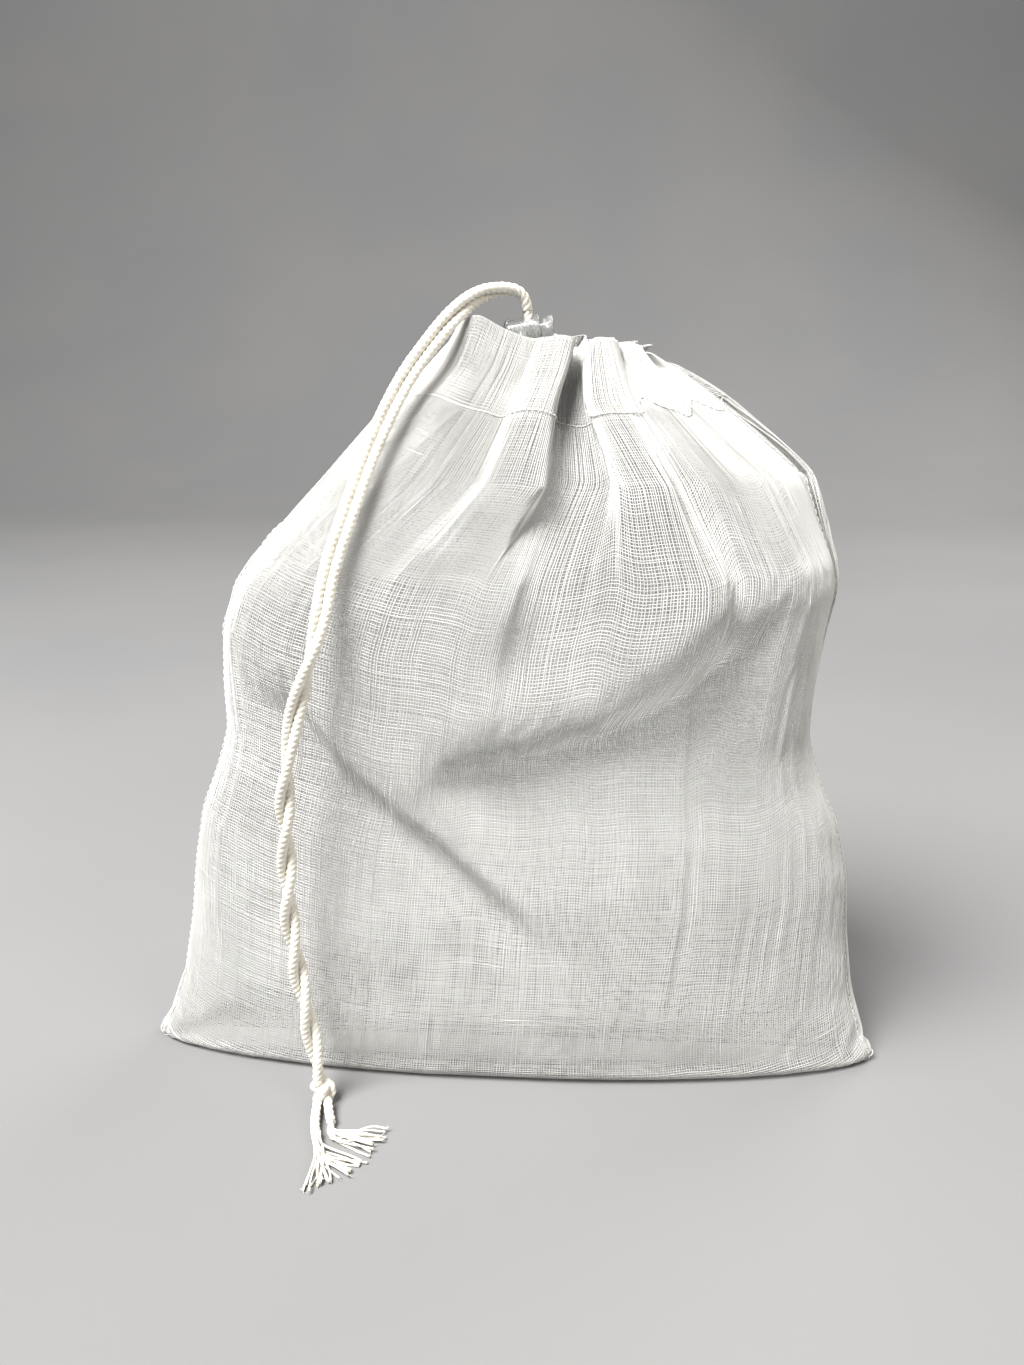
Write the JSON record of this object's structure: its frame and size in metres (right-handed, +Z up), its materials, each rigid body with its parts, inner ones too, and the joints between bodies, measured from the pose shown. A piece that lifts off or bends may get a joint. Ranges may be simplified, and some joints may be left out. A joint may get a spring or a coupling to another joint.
{
  "type": "drawstring_bag",
  "caption": "Open-weave white gauze drawstring bag standing on its bottom seam, mouth drawn shut by a cream cotton cord with a clear spring cord lock, knot and unravelled ends",
  "frame": {"origin": "On the surface that the bag stands on, under the middle of its box, the free cord left out.", "axes": "+X to the right along the bottom seam, seen from the front; +Y from the front panel to the back panel; +Z up, from the bottom seam to the mouth."},
  "size_m": [0.25, 0.1312, 0.2483],
  "materials": {
    "gauze": "matte",
    "sewing_thread": "matte",
    "cotton_cord": "matte",
    "clear_plastic": "gloss",
    "spring_steel": "satin"
  },
  "bodies": {
    "bag": {"front_panel": "gauze", "back_panel": "gauze", "front_casing": "gauze", "back_casing": "gauze", "left_side_seam": "gauze", "right_side_seam": "gauze", "bottom_seam": "gauze", "left_seam_stitching": "sewing_thread", "right_seam_stitching": "sewing_thread", "bottom_seam_stitching": "sewing_thread", "front_casing_stitching": "sewing_thread", "back_casing_stitching": "sewing_thread", "drawcord_loop": "cotton_cord", "drawcord_in_lock": "cotton_cord", "drawcord": "cotton_cord", "drawcord_knot": "cotton_cord", "left_tail": "cotton_cord", "right_tail": "cotton_cord"},
    "lock_body": {"lock_body": "clear_plastic", "lock_spring": "spring_steel"},
    "lock_button": {"lock_button": "clear_plastic"}
  },
  "joints": [
    {"name": "lock_slide", "type": "slide", "parent": "bag", "child": "lock_body", "axis": [-0.1392, 0, 0.9903], "range_m": [-0.002, 0.001]},
    {"name": "button_press", "type": "slide", "parent": "lock_body", "child": "lock_button", "axis": [-0.9903, 0, -0.1392], "range_m": [0, 0.0025], "stiffness_N_per_m": 400, "springref_m": -0.0015, "deforming": ["lock_spring"]}
  ]
}
